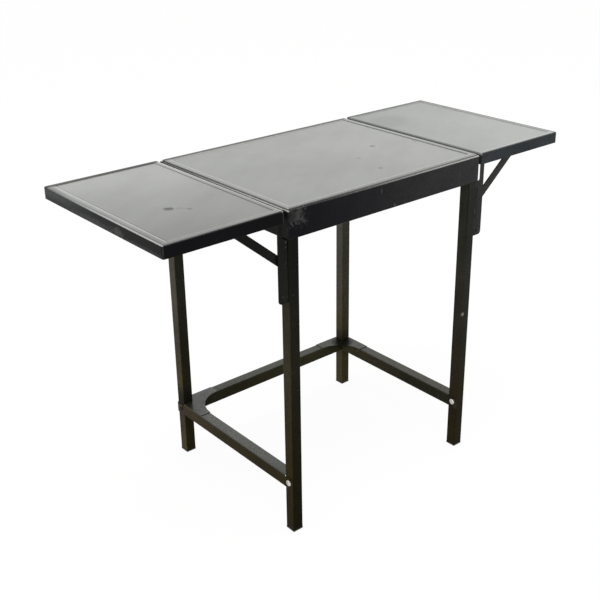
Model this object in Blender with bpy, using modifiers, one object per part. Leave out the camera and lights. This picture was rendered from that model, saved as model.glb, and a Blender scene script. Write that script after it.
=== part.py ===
"""Drop-leaf utility table of pressed and folded sheet steel on four square-tube legs.

Metres, +Z up, floor at z = 0. X runs along the table from the left leaf to the right leaf,
Y from the front to the back, and the origin is on the floor under the middle of the top.
"""
import math

import bmesh
import bpy
from mathutils import Matrix, Vector

# Overall sizes
TABLE_HEIGHT = 0.680
CENTRE_WIDTH = 0.497
CENTRE_DEPTH = 0.404
LEAF_LENGTH = 0.2455
LEAF_GAP = 0.008

# Pressed tops: sheet, raised rim, sunk panel and turned-down edges
SHEET = 0.0010
RIM_WIDTH = 0.011
RIM_STEP = 0.002
PANEL_SINK = 0.0012
CORNER_ROUND = 0.0032
PANEL_ROUND = 0.004
TOP_SETBACK = 0.0028
TOP_LIP = 0.0026
TOP_EDGE_ROUND = 0.0016
LEAF_EDGE = 0.0237
LEAF_EDGE_ROUND = 0.0028

# Aprons
APRON_DROP = 0.057
APRON_TOP_FOLD = 0.014
APRON_BOTTOM_FOLD = 0.008
FOLD_ROUND = 0.0015

# Legs and feet
LEG_SECTION = 0.0235
LEG_WALL = 0.0012
LEG_ROUND = 0.0022
FOOT_HEIGHT = 0.003
FOOT_INSERT = 0.016
FOOT_BEVEL = 0.0006

# Lower frame
RAIL_TOP = 0.1244
RAIL_EDGE = 0.0252
RAIL_WALL = 0.0010
RAIL_ROUND = 0.0020
GUSSET_ARM = 0.090
GUSSET_SHEET = 0.0008
GUSSET_SETBACK = 0.0012

# Rail bolts and nuts
BOLT_RADIUS = 0.0025
BOLT_HEAD_RADIUS = 0.0066
BOLT_HEAD_HEIGHT = 0.0026
BOLT_SPARE = 0.002
BOLT_SLOT_WIDTH = 0.0016
BOLT_SLOT_DEPTH = 0.0012
NUT_RADIUS = 0.0046
NUT_HEIGHT = 0.0035

# Leaf consoles, measured out from the centre top's edge, down from the top, in from the front or back
CONSOLE_REACH = 0.0215
CONSOLE_DROP = 0.176
CONSOLE_SETBACK = 0.003
CONSOLE_SHEET = 0.0016
CONSOLE_BAR = 0.0026
CONSOLE_BAR_ROUND = 0.0018
CONSOLE_WELD = 0.0006
CONSOLE_CORNER = 0.007
TONGUE_WIDTH = 0.011
TONGUE_FILLET = 0.003
HINGE_PIN_RADIUS = 0.0025
HINGE_HEAD_RADIUS = 0.004
HINGE_HEAD_HEIGHT = 0.0012
LUG_SHEET = 0.0020
LUG_LENGTH = 0.0195
LUG_FOOT = 0.015

# Diagonal stays with their friction springs
STAY_PIVOT_OUT = 0.012
STAY_PIVOT_DROP = 0.098
STAY_REACH = 0.1163
STAY_WIDTH = 0.0163
STAY_THICKNESS = 0.003
STAY_PIVOT_RADIUS = 0.003
STAY_TAIL_RADIUS = 0.0055
STAY_TAIL_HEIGHT = 0.0015
SPRING_SHEET = 0.0008
SPRING_WIDTH = 0.011
SPRING_RIVET_DROP = 0.166
RIVET_RADIUS = 0.0025
RIVET_HEAD_RADIUS = 0.005
RIVET_HEAD_HEIGHT = 0.0012
RIVET_TAIL = 0.0005

# Gaps between pieces that touch, and between a pin and its hole
SEAT = 0.0003
PIN_FIT = 0.0002

# Facets
ARC_STEPS = 4
GUSSET_STEPS = 16
ROUND_STEPS = 20

# Places that follow from the sizes
HALF_WIDTH = CENTRE_WIDTH / 2
HALF_DEPTH = CENTRE_DEPTH / 2
APRON_BOTTOM = TABLE_HEIGHT - APRON_DROP
APRON_TOP = TABLE_HEIGHT - TOP_LIP - SEAT
LEG_INSET = SHEET + SEAT
LEG_TOP = APRON_TOP - SHEET - SEAT
LEG_X = HALF_WIDTH - LEG_INSET - LEG_SECTION / 2
LEG_Y = HALF_DEPTH - LEG_INSET - LEG_SECTION / 2
LEG_CLEAR = LEG_SECTION / 2 + SEAT
RAIL_HALF = LEG_CLEAR + RAIL_WALL
BOLT_Z = RAIL_TOP - RAIL_EDGE / 2
PANEL_UNDERSIDE = TABLE_HEIGHT - PANEL_SINK - SHEET
HINGE_OUT = CONSOLE_REACH - TONGUE_WIDTH / 2
HINGE_Z = TABLE_HEIGHT - LEAF_EDGE / 2
PLATE_BACK = CONSOLE_SETBACK + CONSOLE_SHEET
LUG_FRONT = PLATE_BACK + SEAT
SPRING_FRONT = PLATE_BACK + SEAT
SPRING_BACK = SPRING_FRONT + SPRING_SHEET
STAY_FRONT = SPRING_BACK + RIVET_TAIL + SEAT
STAY_BACK = STAY_FRONT + STAY_THICKNESS
STAY_PIVOT_Z = TABLE_HEIGHT - STAY_PIVOT_DROP
STAY_TIP_Z = PANEL_UNDERSIDE - SEAT - STAY_WIDTH / 2
SPRING_RIVET_Z = TABLE_HEIGHT - SPRING_RIVET_DROP

# Finishes: colour, roughness, metallic
BLACK_PAINT = ((0.030, 0.031, 0.034), 0.35, 0.0)
BROWN_PAINT = ((0.034, 0.031, 0.024), 0.40, 0.0)
BRIGHT_ZINC = ((0.62, 0.61, 0.58), 0.35, 1.0)
DARK_STEEL = ((0.16, 0.16, 0.16), 0.45, 1.0)
BLACK_RUBBER = ((0.020, 0.020, 0.020), 0.80, 0.0)

SIDES = (("left", -1), ("right", 1))
ENDS = (("front", -1), ("back", 1))


def start_collections():
    """Empty the scene and make one collection for the parts and one for the cutters."""
    for old in list(bpy.data.objects):
        bpy.data.objects.remove(old, do_unlink=True)
    parts = bpy.data.collections.new("drop_leaf_utility_table")
    cutters = bpy.data.collections.new("cutters")
    for collection in (parts, cutters):
        bpy.context.scene.collection.children.link(collection)
    return parts, cutters


PARTS, CUTTERS = start_collections()


def finish_material(name, finish):
    colour, roughness, metallic = finish
    material = bpy.data.materials.new(name)
    material.use_nodes = True
    shader = material.node_tree.nodes["Principled BSDF"]
    shader.inputs["Base Color"].default_value = (*colour, 1.0)
    shader.inputs["Roughness"].default_value = roughness
    shader.inputs["Metallic"].default_value = metallic
    material.diffuse_color = (*colour, 1.0)
    return material


def add_part(name, mesh, finish, parent=None, pivot=(0.0, 0.0, 0.0)):
    """Add a mesh given in world places as a part with its origin at the pivot."""
    mesh.name = name
    mesh.transform(Matrix.Translation(-Vector(pivot)))
    mesh.materials.append(finish_material(name + "_finish", finish))
    mesh.shade_smooth()
    mesh.set_sharp_from_angle(angle=math.radians(30))
    part = bpy.data.objects.new(name, mesh)
    PARTS.objects.link(part)
    part.location = pivot
    if parent:
        part.parent = parent
        part.location = Vector(pivot) - parent.location
    return part


def add_axis(name, place):
    """Add an empty on a joint's axis."""
    axis = bpy.data.objects.new(name, None)
    axis.empty_display_size = 0.03
    axis.location = place
    PARTS.objects.link(axis)
    return axis


def bm_to_mesh(bm):
    mesh = bpy.data.meshes.new("shape")
    bm.to_mesh(mesh)
    bm.free()
    return mesh


def add_wall(part, thickness):
    """Give an open sheet its wall, half to each side."""
    wall = part.modifiers.new("wall", "SOLIDIFY")
    wall.thickness = thickness
    wall.offset = 0.0
    wall.use_even_offset = True


def cut(part, cutter):
    hole = part.modifiers.new("cut_" + cutter.name, "BOOLEAN")
    hole.operation = "DIFFERENCE"
    hole.object = cutter


def add_cutter(name, mesh):
    cutter = bpy.data.objects.new(name, mesh)
    cutter.hide_render = True
    cutter.display_type = "WIRE"
    CUTTERS.objects.link(cutter)
    return cutter


def round_cutter(name, centre, axis, radius, length):
    """A straight drill of the given radius along an axis."""
    bm = bmesh.new()
    bmesh.ops.create_cone(
        bm, cap_ends=True, segments=ROUND_STEPS, radius1=radius, radius2=radius, depth=length)
    turn = Vector((0, 0, 1)).rotation_difference(Vector(axis)).to_matrix().to_4x4()
    bm.transform(Matrix.Translation(centre) @ turn)
    return add_cutter(name, bm_to_mesh(bm))


def box_cutter(name, centre, size):
    bm = bmesh.new()
    bmesh.ops.create_cube(bm, size=1.0)
    bmesh.ops.scale(bm, vec=size, verts=bm.verts)
    bmesh.ops.translate(bm, vec=centre, verts=bm.verts)
    return add_cutter(name, bm_to_mesh(bm))


def circle(centre, radius):
    """Points of a round hole."""
    turns = [2 * math.pi * step / ROUND_STEPS for step in range(ROUND_STEPS)]
    return [(centre[0] + radius * math.cos(turn), centre[1] + radius * math.sin(turn)) for turn in turns]


def rounded(corners, closed=True, steps=ARC_STEPS):
    """Turn corners (u, v, radius) into a path whose corners are arcs of that radius."""
    path = []
    count = len(corners)
    for index, (u, v, radius) in enumerate(corners):
        inner = closed or 0 < index < count - 1
        here = Vector((u, v))
        if radius == 0.0 or not inner:
            path.append((u, v))
            continue
        before = (Vector(corners[index - 1][:2]) - here).normalized()
        after = (Vector(corners[(index + 1) % count][:2]) - here).normalized()
        half = before.angle(after) / 2
        middle = here + (before + after).normalized() * radius / math.sin(half)
        first = here + before * radius / math.tan(half) - middle
        sweep = first.angle_signed(here + after * radius / math.tan(half) - middle)
        for step in range(steps + 1):
            turn = Matrix.Rotation(-sweep * step / steps, 2)
            path.append(tuple(middle + turn @ first))
    return path


def slotted(first, second, half_width):
    """Outline of a flat bar with round ends about two points."""
    heading = math.atan2(second.y - first.y, second.x - first.x)
    points = []
    for centre, start in ((second, heading - math.pi / 2), (first, heading + math.pi / 2)):
        for step in range(2 * ARC_STEPS + 1):
            turn = start + math.pi * step / (2 * ARC_STEPS)
            points.append((centre.x + half_width * math.cos(turn), centre.y + half_width * math.sin(turn)))
    return points


def flat_plate(loops, thickness):
    """Mesh of a flat outline with its holes, lying in XY and reaching half its thickness up and down."""
    curve = bpy.data.curves.new("outline", "CURVE")
    curve.dimensions = "2D"
    curve.fill_mode = "BOTH"
    curve.extrude = thickness / 2
    for loop in loops:
        spline = curve.splines.new("POLY")
        spline.points.add(len(loop) - 1)
        for point, (u, v) in zip(spline.points, loop):
            point.co = (u, v, 0.0, 1.0)
        spline.use_cyclic_u = True
    holder = bpy.data.objects.new("outline", curve)
    CUTTERS.objects.link(holder)
    evaluated = holder.evaluated_get(bpy.context.evaluated_depsgraph_get())
    mesh = bpy.data.meshes.new_from_object(evaluated)
    bpy.data.objects.remove(holder, do_unlink=True)
    bpy.data.curves.remove(curve)
    bm = bmesh.new()
    bm.from_mesh(mesh)
    bmesh.ops.remove_doubles(bm, verts=bm.verts, dist=0.00001)
    bmesh.ops.recalc_face_normals(bm, faces=bm.faces)
    bm.to_mesh(mesh)
    bm.free()
    return mesh


def upright_plate(loops, y_centre, thickness):
    """A flat plate whose outline is given in (x, z), standing in the plane y = y_centre."""
    mesh = flat_plate(loops, thickness)
    mesh.transform(Matrix.Translation((0, y_centre, 0)) @ Matrix.Rotation(math.pi / 2, 4, "X"))
    return mesh


def turned(profile, place, axis):
    """A turned solid: profile points (radius, height) from the top of its axis to the bottom."""
    bm = bmesh.new()
    verts = [bm.verts.new((radius, 0.0, height)) for radius, height in profile]
    for upper, lower in zip(verts, verts[1:]):
        bm.edges.new((upper, lower))
    mesh = bm_to_mesh(bm)
    holder = bpy.data.objects.new("profile", mesh)
    CUTTERS.objects.link(holder)
    spin = holder.modifiers.new("spin", "SCREW")
    spin.steps = ROUND_STEPS
    spin.render_steps = ROUND_STEPS
    spin.use_merge_vertices = True
    spin.merge_threshold = 0.00001
    evaluated = holder.evaluated_get(bpy.context.evaluated_depsgraph_get())
    solid = bpy.data.meshes.new_from_object(evaluated)
    bpy.data.objects.remove(holder, do_unlink=True)
    turn = Vector((0, 0, 1)).rotation_difference(Vector(axis)).to_matrix().to_4x4()
    solid.transform(Matrix.Translation(place) @ turn)
    return solid


def dome(radius, height, base):
    """Profile of a low domed head from its crown down to its rim, standing on base."""
    turns = [math.pi / 2 * step / ARC_STEPS for step in range(ARC_STEPS + 1)]
    return [(radius * math.sin(turn), base + height * math.cos(turn)) for turn in turns]


def folded_sheet(path, run, along):
    """Open sheet: a path in (across, z) swept along X or Y from run[0] to run[1]."""
    bm = bmesh.new()
    if along == "X":
        verts = [bm.verts.new((run[0], across, z)) for across, z in path]
        sweep = Vector((run[1] - run[0], 0, 0))
    else:
        verts = [bm.verts.new((across, run[0], z)) for across, z in path]
        sweep = Vector((0, run[1] - run[0], 0))
    edges = [bm.edges.new(pair) for pair in zip(verts, verts[1:])]
    swept = bmesh.ops.extrude_edge_only(bm, edges=edges)["geom"]
    bmesh.ops.translate(bm, verts=[v for v in swept if isinstance(v, bmesh.types.BMVert)], vec=sweep)
    return bm


def split_at(bm, places, along):
    """Add a row of edges across the sheet at each place along X or Y."""
    normal = (1, 0, 0) if along == "X" else (0, 1, 0)
    for place in places:
        point = tuple(place * part for part in normal)
        everything = bm.verts[:] + bm.edges[:] + bm.faces[:]
        bmesh.ops.bisect_plane(bm, geom=everything, plane_co=point, plane_no=normal)


def trim(bm, unwanted):
    """Delete the faces that the test picks by their centre."""
    faces = [face for face in bm.faces if unwanted(face.calc_center_median())]
    bmesh.ops.delete(bm, geom=faces, context="FACES")


def pan_rings(depth, skirt, edge_round):
    """Rings (inset, z, corner radius) of one side of a pan, depth below its outer side, from panel to lip."""
    top = TABLE_HEIGHT - depth
    bend = edge_round - depth
    rings = [(RIM_WIDTH + RIM_STEP, top - PANEL_SINK, PANEL_ROUND), (RIM_WIDTH, top, PANEL_ROUND)]
    for step in range(ARC_STEPS + 1):
        turn = math.pi / 2 * step / ARC_STEPS
        inset = edge_round - bend * math.sin(turn)
        rings.append((inset, top - bend * (1 - math.cos(turn)), CORNER_ROUND - inset))
    rings.append((depth, TABLE_HEIGHT - skirt, CORNER_ROUND - depth))
    return rings


def pressed_pan(low, high, skirt, edge_round):
    """Pressed top between two corners: sunk panel, rim and turned-down edges, lofted from ring to ring."""
    outside = pan_rings(0.0, skirt, edge_round)
    inside = pan_rings(SHEET, skirt, edge_round)
    bm = bmesh.new()
    loops = []
    for inset, z, radius in outside + inside[::-1]:
        x0, y0, x1, y1 = low[0] + inset, low[1] + inset, high[0] - inset, high[1] - inset
        path = rounded([(x0, y0, radius), (x1, y0, radius), (x1, y1, radius), (x0, y1, radius)])
        loops.append([bm.verts.new((x, y, z)) for x, y in path])
    for upper, lower in zip(loops, loops[1:]):
        for index in range(len(upper)):
            bm.faces.new((upper[index - 1], lower[index - 1], lower[index], upper[index]))
    bm.faces.new(loops[0])
    bm.faces.new(loops[-1][::-1])
    bmesh.ops.recalc_face_normals(bm, faces=bm.faces)
    return bm_to_mesh(bm)


def make_centre_top():
    low = (-HALF_WIDTH + TOP_SETBACK, -HALF_DEPTH + TOP_SETBACK)
    high = (HALF_WIDTH - TOP_SETBACK, HALF_DEPTH - TOP_SETBACK)
    add_part("centre_top", pressed_pan(low, high, TOP_LIP, TOP_EDGE_ROUND), BLACK_PAINT)


def apron_path(outer, inward):
    """Section of an apron: top fold, face and bottom fold, the face's outer side at outer."""
    half = SHEET / 2
    face = outer + inward * half
    return rounded([
        (outer + inward * APRON_TOP_FOLD, APRON_TOP - half, 0.0),
        (face, APRON_TOP - half, FOLD_ROUND),
        (face, APRON_BOTTOM + half, FOLD_ROUND),
        (outer + inward * APRON_BOTTOM_FOLD, APRON_BOTTOM + half, 0.0),
    ], closed=False)


def make_aprons():
    """Front and back aprons cover the legs; the end aprons fit between them."""
    fold_low = APRON_BOTTOM + SHEET / 2 + FOLD_ROUND
    fold_high = APRON_TOP - SHEET / 2 - FOLD_ROUND
    leg_x = LEG_X - LEG_SECTION / 2 - SEAT
    leg_y = LEG_Y - LEG_SECTION / 2 - SEAT
    fold_y = HALF_DEPTH - APRON_TOP_FOLD - SEAT
    end_y = HALF_DEPTH - SHEET - SEAT
    for end, sign in ENDS:
        bm = folded_sheet(apron_path(sign * HALF_DEPTH, -sign), (-HALF_WIDTH, HALF_WIDTH), "X")
        split_at(bm, (-leg_x, leg_x), "X")
        trim(bm, lambda c: c.z < fold_low and abs(c.x) > leg_x)
        add_wall(add_part(end + "_apron", bm_to_mesh(bm), BLACK_PAINT), SHEET)
    for side, sign in SIDES:
        bm = folded_sheet(apron_path(sign * HALF_WIDTH, -sign), (-end_y, end_y), "Y")
        split_at(bm, (-fold_y, -leg_y, leg_y, fold_y), "Y")
        trim(bm, lambda c: c.z < fold_low and abs(c.y) > leg_y)
        trim(bm, lambda c: c.z > fold_high and abs(c.y) > fold_y)
        add_wall(add_part(side + "_apron", bm_to_mesh(bm), BLACK_PAINT), SHEET)


def square(half, radius):
    corners = ((-half, -half), (half, -half), (half, half), (-half, half))
    return rounded([(a, b, radius) for a, b in corners])


def make_leg(name, x, y, drill):
    """Square tube with a plug in its foot."""
    half = LEG_SECTION / 2
    bottom = FOOT_HEIGHT + SEAT
    section = [square(half, LEG_ROUND), square(half - LEG_WALL, LEG_ROUND - LEG_WALL)]
    tube = flat_plate(section, LEG_TOP - bottom)
    tube.transform(Matrix.Translation((x, y, (LEG_TOP + bottom) / 2)))
    cut(add_part(name + "_leg", tube, BROWN_PAINT), drill)

    bm = bmesh.new()
    bmesh.ops.create_cube(bm, size=1.0)
    bmesh.ops.scale(bm, vec=(LEG_SECTION, LEG_SECTION, FOOT_HEIGHT), verts=bm.verts)
    bmesh.ops.translate(bm, vec=(x, y, FOOT_HEIGHT / 2), verts=bm.verts)
    crown = [face for face in bm.faces if face.normal.z > 0.5]
    bmesh.ops.inset_region(bm, faces=crown, thickness=LEG_WALL + SEAT, use_even_offset=True)
    insert = bmesh.ops.extrude_face_region(bm, geom=crown)["geom"]
    raised = [item for item in insert if isinstance(item, bmesh.types.BMVert)]
    bmesh.ops.translate(bm, vec=(0, 0, FOOT_INSERT), verts=raised)
    bmesh.ops.delete(bm, geom=crown, context="FACES")
    upright = [e for e in bm.edges if abs(e.verts[0].co.z - e.verts[1].co.z) > FOOT_HEIGHT / 2]
    bmesh.ops.bevel(bm, geom=upright, offset=LEG_ROUND - LEG_WALL, segments=2, profile=0.5, affect="EDGES")
    sole = [e for e in bm.edges if max(v.co.z for v in e.verts) < FOOT_HEIGHT / 2]
    bmesh.ops.bevel(bm, geom=sole, offset=FOOT_BEVEL, segments=2, profile=0.5, affect="EDGES")
    bmesh.ops.recalc_face_normals(bm, faces=bm.faces)
    add_part(name + "_foot", bm_to_mesh(bm), BLACK_RUBBER)


def rail_path(centre):
    """Section of an upside-down channel that straddles a leg."""
    side = RAIL_HALF - RAIL_WALL / 2
    top = RAIL_TOP - RAIL_WALL / 2
    bottom = RAIL_TOP - RAIL_EDGE
    return rounded([
        (centre - side, bottom, 0.0),
        (centre - side, top, RAIL_ROUND),
        (centre + side, top, RAIL_ROUND),
        (centre + side, bottom, 0.0),
    ], closed=False)


def make_rails(drills):
    """Side rails run from front to back with a tab on each leg's left; the back rail fits between them."""
    flange_top = RAIL_TOP - RAIL_ROUND - RAIL_WALL / 2
    web_y = LEG_Y - LEG_CLEAR
    tab_y = LEG_Y + LEG_SECTION / 2
    for side, sign in SIDES:
        bm = folded_sheet(rail_path(sign * LEG_X), (-tab_y, tab_y), "Y")
        split_at(bm, (-web_y, web_y), "Y")
        trim(bm, lambda c: abs(c.y) > web_y and (c.z > flange_top or c.x > sign * LEG_X))
        rail = add_part(side + "_rail", bm_to_mesh(bm), BROWN_PAINT)
        add_wall(rail, RAIL_WALL)
        for end, _ in ENDS:
            cut(rail, drills[end, side])
    web_x = LEG_X - RAIL_HALF - SEAT
    tab_x = LEG_X + LEG_SECTION / 2
    bm = folded_sheet(rail_path(LEG_Y), (-tab_x, tab_x), "X")
    split_at(bm, (-web_x, web_x), "X")
    trim(bm, lambda c: abs(c.x) > web_x and (c.z > flange_top or c.y < LEG_Y))
    add_wall(add_part("back_rail", bm_to_mesh(bm), BROWN_PAINT), RAIL_WALL)


def make_gussets():
    """Flat corner plates on the rails, hollowed by a quarter circle and notched round the back legs."""
    width = 2 * RAIL_HALF
    notch = RAIL_HALF + LEG_CLEAR
    radius = GUSSET_ARM - width
    hollow = [math.pi / 2 * step / GUSSET_STEPS for step in range(GUSSET_STEPS + 1)]
    curve = [(radius * math.sin(turn), radius * math.cos(turn)) for turn in hollow]
    outline = [(notch, GUSSET_SETBACK), (GUSSET_ARM, GUSSET_SETBACK)]
    outline += [(GUSSET_ARM - a, GUSSET_ARM - b) for a, b in curve]
    outline += [(GUSSET_SETBACK, GUSSET_ARM), (GUSSET_SETBACK, notch), (notch, notch)]
    for side, sign in SIDES:
        corner = (sign * (LEG_X + RAIL_HALF), LEG_Y + RAIL_HALF)
        loop = [(corner[0] - sign * a, corner[1] - b) for a, b in outline]
        plate = flat_plate([loop], GUSSET_SHEET)
        plate.transform(Matrix.Translation((0, 0, RAIL_TOP + SEAT + GUSSET_SHEET / 2)))
        add_part("back_" + side + "_gusset", plate, BROWN_PAINT)


def make_rail_bolt(name, x, y):
    """Slotted bolt from the left through the rail's side and the leg's wall, with a nut inside the leg."""
    seat = x - RAIL_HALF - SEAT
    nut_face = x - LEG_SECTION / 2 + LEG_WALL + SEAT
    grip = nut_face + NUT_HEIGHT + BOLT_SPARE - seat
    profile = dome(BOLT_HEAD_RADIUS, BOLT_HEAD_HEIGHT, 0.0)
    profile += [(BOLT_RADIUS, 0.0), (BOLT_RADIUS, -grip), (0.0, -grip)]
    bolt = add_part(name + "_rail_bolt", turned(profile, (seat, y, BOLT_Z), (-1, 0, 0)), BRIGHT_ZINC)
    slot_size = (2 * BOLT_SLOT_DEPTH, BOLT_SLOT_WIDTH, 3 * BOLT_HEAD_RADIUS)
    cut(bolt, box_cutter(name + "_slot", (seat - BOLT_HEAD_HEIGHT, y, BOLT_Z), slot_size))
    corners = [math.pi / 3 * corner for corner in range(6)]
    hexagon = [(NUT_RADIUS * math.cos(turn), NUT_RADIUS * math.sin(turn)) for turn in corners]
    nut = flat_plate([hexagon, circle((0.0, 0.0), BOLT_RADIUS + PIN_FIT)], NUT_HEIGHT)
    nut_place = (nut_face + NUT_HEIGHT / 2, y, BOLT_Z)
    nut.transform(Matrix.Translation(nut_place) @ Matrix.Rotation(math.pi / 2, 4, "Y"))
    add_part(name + "_rail_nut", nut, BRIGHT_ZINC)


def make_leaf(side, sign):
    """Pan-shaped leaf, hung on an axis inside its hinge edge."""
    axis = add_axis(side + "_leaf_axis", (sign * (HALF_WIDTH + HINGE_OUT), 0.0, HINGE_Z))
    inner = sign * (HALF_WIDTH + LEAF_GAP)
    outer = sign * (HALF_WIDTH + LEAF_GAP + LEAF_LENGTH)
    low = (min(inner, outer), -HALF_DEPTH)
    high = (max(inner, outer), HALF_DEPTH)
    pan = pressed_pan(low, high, LEAF_EDGE, LEAF_EDGE_ROUND)
    add_part(side + "_leaf", pan, BLACK_PAINT, parent=axis, pivot=axis.location)
    return axis


def make_console(name, sign, end_sign, leaf_axis):
    """Bracket on a leg's outer side that carries one end of a leaf's hinge and its stay."""
    def out(distance):
        return sign * (HALF_WIDTH + distance)

    def inward(distance):
        return end_sign * (HALF_DEPTH - distance)

    hinge = (out(HINGE_OUT), HINGE_Z)
    pivot = (out(STAY_PIVOT_OUT), STAY_PIVOT_Z)
    rivet = (out(STAY_PIVOT_OUT), SPRING_RIVET_Z)
    bottom = TABLE_HEIGHT - CONSOLE_DROP
    shoulder = APRON_BOTTOM - SEAT
    bar_inner = SEAT - LEG_INSET
    bar_outer = bar_inner + CONSOLE_BAR
    bar_front = CONSOLE_SETBACK + CONSOLE_SHEET / 4
    bar_back = LEG_INSET + LEG_SECTION
    tongue_inner = CONSOLE_REACH - TONGUE_WIDTH
    tongue_end = HINGE_Z + TONGUE_WIDTH / 2
    tongue_round = TONGUE_WIDTH * 0.49
    outline = rounded([
        (out(bar_outer - CONSOLE_WELD), bottom, 0.0),
        (out(CONSOLE_REACH), bottom, CONSOLE_CORNER),
        (out(CONSOLE_REACH), tongue_end, tongue_round),
        (out(tongue_inner), tongue_end, tongue_round),
        (out(tongue_inner), shoulder, TONGUE_FILLET),
        (out(bar_outer - CONSOLE_WELD), shoulder, 0.0),
    ])
    holes = [circle(hinge, HINGE_PIN_RADIUS + PIN_FIT), circle(pivot, STAY_PIVOT_RADIUS + PIN_FIT)]
    holes.append(circle(rivet, RIVET_RADIUS + PIN_FIT))
    plate = upright_plate([outline] + holes, inward(CONSOLE_SETBACK + CONSOLE_SHEET / 2), CONSOLE_SHEET)
    console = add_part(name + "_console", plate, BROWN_PAINT)

    bm = bmesh.new()
    bmesh.ops.create_cube(bm, size=1.0)
    bmesh.ops.scale(bm, vec=(CONSOLE_BAR, bar_back - bar_front, shoulder - bottom), verts=bm.verts)
    bar_middle = (out((bar_inner + bar_outer) / 2), inward((bar_front + bar_back) / 2))
    bmesh.ops.translate(bm, vec=(*bar_middle, (shoulder + bottom) / 2), verts=bm.verts)
    corner = Vector((out(bar_inner), inward(bar_front)))
    groove = [edge for edge in bm.edges if all((vert.co.xy - corner).length < SEAT for vert in edge.verts)]
    bmesh.ops.bevel(
        bm, geom=groove, offset=CONSOLE_BAR_ROUND, segments=ARC_STEPS, profile=0.5, affect="EDGES")
    bar = add_cutter(name + "_console_bar", bm_to_mesh(bm))
    weld = console.modifiers.new("weld_bar", "BOOLEAN")
    weld.operation = "UNION"
    weld.object = bar

    front = (0, end_sign, 0)
    pin_seat = CONSOLE_SETBACK - SEAT
    lug_back = LUG_FRONT + LUG_SHEET + SEAT
    grip = lug_back - pin_seat
    pin_profile = dome(HINGE_HEAD_RADIUS, HINGE_HEAD_HEIGHT, 0.0)
    pin_profile += [(HINGE_PIN_RADIUS, 0.0), (HINGE_PIN_RADIUS, -grip), (HINGE_HEAD_RADIUS, -grip)]
    pin_profile += [(HINGE_HEAD_RADIUS, -grip - HINGE_HEAD_HEIGHT), (0.0, -grip - HINGE_HEAD_HEIGHT)]
    pin = turned(pin_profile, (hinge[0], inward(pin_seat), hinge[1]), front)
    add_part(name + "_hinge_pin", pin, DARK_STEEL)

    lug_top = PANEL_UNDERSIDE - SEAT - LUG_SHEET / 2
    lug_plane = LUG_FRONT + LUG_SHEET / 2
    lug_path = rounded([
        (inward(lug_plane), HINGE_Z - TONGUE_WIDTH / 2, 0.0),
        (inward(lug_plane), lug_top, LUG_SHEET),
        (inward(lug_plane + LUG_FOOT), lug_top, 0.0),
    ], closed=False)
    lug_run = sorted((out(tongue_inner), out(tongue_inner + LUG_LENGTH)))
    lug_sheet = bm_to_mesh(folded_sheet(lug_path, lug_run, "X"))
    lug = add_part(name + "_hinge_lug", lug_sheet, DARK_STEEL, parent=leaf_axis, pivot=leaf_axis.location)
    add_wall(lug, LUG_SHEET)
    lug_drill = (hinge[0], inward(lug_plane), hinge[1])
    cut(lug, round_cutter(name + "_lug_drill", lug_drill, front, HINGE_PIN_RADIUS + PIN_FIT, 3 * LUG_SHEET))

    tip = Vector((out(STAY_REACH), STAY_TIP_Z))
    stay_mesh = upright_plate(
        [slotted(Vector(pivot), tip, STAY_WIDTH / 2), circle(pivot, STAY_PIVOT_RADIUS + PIN_FIT)],
        inward(STAY_FRONT + STAY_THICKNESS / 2), STAY_THICKNESS)
    stay_pivot = (pivot[0], inward(STAY_FRONT + STAY_THICKNESS / 2), pivot[1])
    add_part(name + "_stay", stay_mesh, BROWN_PAINT, pivot=stay_pivot)

    spring_holes = [circle(pivot, STAY_PIVOT_RADIUS + PIN_FIT), circle(rivet, RIVET_RADIUS + PIN_FIT)]
    spring_loop = slotted(Vector(rivet), Vector(pivot), SPRING_WIDTH / 2)
    spring_plane = inward(SPRING_FRONT + SPRING_SHEET / 2)
    spring = upright_plate([spring_loop] + spring_holes, spring_plane, SPRING_SHEET)
    add_part(name + "_friction_spring", spring, DARK_STEEL)

    tail = STAY_BACK + SEAT - CONSOLE_SETBACK
    tail_end = tail + STAY_TAIL_HEIGHT
    pivot_profile = [(0.0, 0.0), (STAY_PIVOT_RADIUS, 0.0), (STAY_PIVOT_RADIUS, -tail)]
    pivot_profile += [(STAY_TAIL_RADIUS, -tail), (STAY_TAIL_RADIUS, -tail_end), (0.0, -tail_end)]
    stay_pin = turned(pivot_profile, (pivot[0], inward(CONSOLE_SETBACK), pivot[1]), front)
    add_part(name + "_stay_pivot", stay_pin, DARK_STEEL)

    rivet_grip = SPRING_BACK + RIVET_TAIL - pin_seat
    rivet_profile = dome(RIVET_HEAD_RADIUS, RIVET_HEAD_HEIGHT, 0.0)
    rivet_profile += [(RIVET_RADIUS, 0.0), (RIVET_RADIUS, -rivet_grip), (0.0, -rivet_grip)]
    spring_rivet = turned(rivet_profile, (rivet[0], inward(pin_seat), rivet[1]), front)
    add_part(name + "_spring_rivet", spring_rivet, BROWN_PAINT)


def build():
    make_centre_top()
    make_aprons()
    drills = {}
    for end, end_sign in ENDS:
        for side, sign in SIDES:
            name = end + "_" + side
            place = (sign * LEG_X, end_sign * LEG_Y, BOLT_Z)
            left_wall = (place[0] - RAIL_HALF, place[1], BOLT_Z)
            drill = round_cutter(name + "_drill", left_wall, (1, 0, 0), BOLT_RADIUS + PIN_FIT, LEG_SECTION)
            drills[end, side] = drill
            make_leg(name, place[0], place[1], drill)
            make_rail_bolt(name, place[0], place[1])
    make_rails(drills)
    make_gussets()
    for side, sign in SIDES:
        leaf_axis = make_leaf(side, sign)
        for end, end_sign in ENDS:
            make_console(end + "_" + side, sign, end_sign, leaf_axis)


build()
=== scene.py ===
"""Looks of the drop-leaf utility table: worn dark paint, small fasteners, studio light and camera."""
import math
from collections import namedtuple

import bmesh
import bpy
from mathutils import Matrix, Vector


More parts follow.
